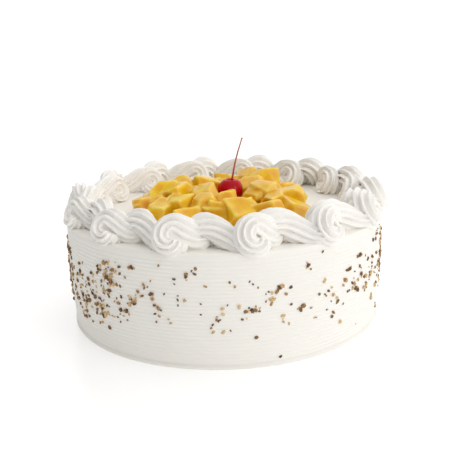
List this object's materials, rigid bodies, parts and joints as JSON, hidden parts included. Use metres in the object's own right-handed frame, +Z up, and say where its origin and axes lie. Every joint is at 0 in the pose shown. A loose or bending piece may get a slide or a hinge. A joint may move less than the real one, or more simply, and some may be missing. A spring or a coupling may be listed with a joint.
{
  "type": "peach tres leches cake",
  "caption": "Round cream-coated cake with a combed, nut-flecked side, a piped shell border, diced peach heaped on top and a stemmed cherry.",
  "frame": {"origin": "middle of the flat underside of the cake, which is the middle of the mount base", "axes": "+Z up through the cherry's side of the cake, -Y towards the viewer of the front, +X to the viewer's right"},
  "size_m": [0.2446, 0.2427, 0.1316],
  "materials": {
    "whipped_cream": "soft matt whipped cream, combed round the side, with chopped toasted nuts pressed in",
    "piped_cream": "piped whipped cream, satin, ridged by a star tube",
    "diced_peach": "wet, syrupy golden peach flesh, slightly translucent",
    "cherry_skin": "glossy deep red preserved cherry, wet with syrup",
    "toasted_nut": "dry chopped nuts, toasted tan to dark brown, pressed into the cream of cake_body",
    "cherry_stalk": "thin fibrous red stalk, paler at the tip"
  },
  "bodies": {
    "root": {"cake_body": "whipped_cream", "shell_01": "piped_cream", "shell_02": "piped_cream", "shell_03": "piped_cream", "shell_04": "piped_cream", "shell_05": "piped_cream", "shell_06": "piped_cream", "shell_07": "piped_cream", "shell_08": "piped_cream", "shell_09": "piped_cream", "shell_10": "piped_cream", "shell_11": "piped_cream", "shell_12": "piped_cream", "shell_13": "piped_cream", "shell_14": "piped_cream", "shell_15": "piped_cream", "shell_16": "piped_cream", "shell_17": "piped_cream", "shell_18": "piped_cream", "shell_19": "piped_cream", "shell_20": "piped_cream", "shell_21": "piped_cream", "shell_22": "piped_cream", "shell_23": "piped_cream", "shell_24": "piped_cream", "shell_25": "piped_cream", "shell_26": "piped_cream", "shell_27": "piped_cream", "shell_28": "piped_cream", "peach_heap": "diced_peach", "cherry": "cherry_skin", "cherry_stem": "cherry_stalk"}
  },
  "joints": []
}
